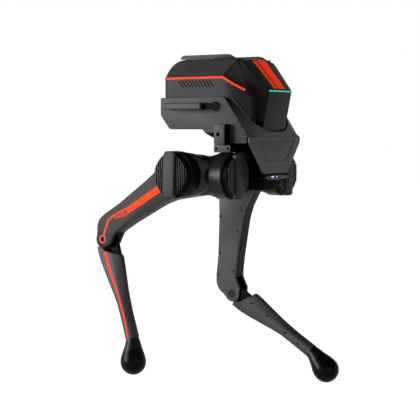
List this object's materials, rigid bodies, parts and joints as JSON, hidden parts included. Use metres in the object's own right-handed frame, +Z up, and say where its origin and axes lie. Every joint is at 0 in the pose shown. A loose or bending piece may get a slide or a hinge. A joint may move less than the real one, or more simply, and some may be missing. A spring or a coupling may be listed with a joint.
{
  "type": "two-legged point-foot walking robot",
  "caption": "Two-legged walking robot: armoured trunk with side handles and top rails, hip, thigh and knee motors on each leg, and shanks ending in round rubber feet.",
  "frame": {"origin": "middle of the bounding box on the ground, below the trunk", "axes": "+X forward, +Y to the robot's left, +Z up, in the striding pose"},
  "size_m": [0.5163, 0.4236, 0.7668],
  "materials": {
    "shell_grey": "fine matt grain",
    "chest_grey": "fine matt grain",
    "head_black": "satin",
    "trim_grey": "satin",
    "black_plastic": "matt",
    "dark_metal": "black anodised, satin",
    "motor_cap": "black anodised, satin",
    "motor_band": "fine matt grain",
    "steel": "machined",
    "battery": "matt",
    "circuit_board": "satin",
    "light_bar": "glowing diffuser",
    "lens": "polished dark window",
    "ankle_black": "satin",
    "foot_rubber": "soft black rubber"
  },
  "bodies": {
    "trunk": {"upper_shell": "shell_grey", "chassis_tray": "dark_metal", "side_plate_left": "shell_grey", "side_plate_right": "shell_grey", "chassis_core": "dark_metal", "belly_pan": "black_plastic", "rear_panel": "black_plastic", "battery_pack": "battery", "control_board": "circuit_board", "head_housing": "head_black", "head_light_bar": "light_bar", "chest_cover": "chest_grey", "camera_bezel": "black_plastic", "camera_lens": "lens", "top_rail_left": "trim_grey", "handle_left": "trim_grey", "hip_block_upper_left": "dark_metal", "hip_block_lower_left": "dark_metal", "motor_saddle_left": "dark_metal", "roll_motor_housing_left": "dark_metal", "roll_motor_cap_left": "motor_cap", "roll_motor_band_left": "motor_band", "top_rail_right": "trim_grey", "handle_right": "trim_grey", "hip_block_upper_right": "dark_metal", "hip_block_lower_right": "dark_metal", "motor_saddle_right": "dark_metal", "roll_motor_housing_right": "dark_metal", "roll_motor_cap_right": "motor_cap", "roll_motor_band_right": "motor_band"},
    "hip_right": {"hip_link_right": "dark_metal", "pitch_motor_cap_right": "motor_cap", "pitch_motor_band_right": "motor_band"},
    "thigh_right": {"thigh_shell_right": "shell_grey", "thigh_cover_right": "shell_grey", "knee_motor_housing_right": "dark_metal", "knee_motor_cap_right": "motor_cap", "knee_pin_right": "steel"},
    "knee_crank_right": {"knee_crank_right": "steel"},
    "push_rod_right": {"push_rod_right": "steel"},
    "shank_right": {"shank_frame_right": "shell_grey", "shank_cover_right": "shell_grey", "ankle_sleeve_right": "ankle_black", "foot_right": "foot_rubber"},
    "hip_left": {"hip_link_left": "dark_metal", "pitch_motor_cap_left": "motor_cap", "pitch_motor_band_left": "motor_band"},
    "thigh_left": {"thigh_shell_left": "shell_grey", "thigh_cover_left": "shell_grey", "knee_motor_housing_left": "dark_metal", "knee_motor_cap_left": "motor_cap", "knee_pin_left": "steel"},
    "knee_crank_left": {"knee_crank_left": "steel"},
    "push_rod_left": {"push_rod_left": "steel"},
    "shank_left": {"shank_frame_left": "shell_grey", "shank_cover_left": "shell_grey", "ankle_sleeve_left": "ankle_black", "foot_left": "foot_rubber"}
  },
  "joints": [
    {"name": "hip_roll_right", "type": "hinge", "parent": "trunk", "child": "hip_right", "pos_m": [0.0985, -0.105, 0.49252], "axis": [1, 0, 0], "range_deg": [-45, 8]},
    {"name": "hip_pitch_right", "type": "hinge", "parent": "hip_right", "child": "thigh_right", "pos_m": [0.0165, -0.105, 0.49252], "axis": [0, 0.9988, -0.0489], "range_deg": [-86, 52]},
    {"name": "knee_right", "type": "hinge", "parent": "thigh_right", "child": "shank_right", "pos_m": [-0.23791, -0.11277, 0.33374], "axis": [0, 0.9988, -0.0489], "range_deg": [-63, 64]},
    {"name": "knee_drive_right", "type": "hinge", "parent": "thigh_right", "child": "knee_crank_right", "pos_m": [0.0165, -0.105, 0.49252], "axis": [0, 0.9988, -0.0489], "range_deg": [-63, 64]},
    {"name": "push_rod_pivot_right", "type": "hinge", "parent": "knee_crank_right", "child": "push_rod_right", "pos_m": [0.00564, -0.10418, 0.5093], "axis": [0, 0.9988, -0.0489], "range_deg": [-64, 63]},
    {"name": "hip_roll_left", "type": "hinge", "parent": "trunk", "child": "hip_left", "pos_m": [0.0985, 0.105, 0.49252], "axis": [1, 0, 0], "range_deg": [-8, 45]},
    {"name": "hip_pitch_left", "type": "hinge", "parent": "hip_left", "child": "thigh_left", "pos_m": [0.0165, 0.105, 0.49252], "axis": [0, 0.9988, 0.0489], "range_deg": [-35, 102]},
    {"name": "knee_left", "type": "hinge", "parent": "thigh_left", "child": "shank_left", "pos_m": [-0.02266, 0.11953, 0.19545], "axis": [0, 0.9988, 0.0489], "range_deg": [-73, 54]},
    {"name": "knee_drive_left", "type": "hinge", "parent": "thigh_left", "child": "knee_crank_left", "pos_m": [0.0165, 0.105, 0.49252], "axis": [0, 0.9988, 0.0489], "range_deg": [-73, 54]},
    {"name": "push_rod_pivot_left", "type": "hinge", "parent": "knee_crank_left", "child": "push_rod_left", "pos_m": [-0.00259, 0.10471, 0.4985], "axis": [0, 0.9988, 0.0489], "range_deg": [-54, 73]}
  ],
  "couplings": [
    {"joint": "knee_drive_right", "follows": "knee_right", "ratio": 1},
    {"joint": "push_rod_pivot_right", "follows": "knee_right", "ratio": -1},
    {"joint": "knee_drive_left", "follows": "knee_left", "ratio": 1},
    {"joint": "push_rod_pivot_left", "follows": "knee_left", "ratio": -1}
  ]
}
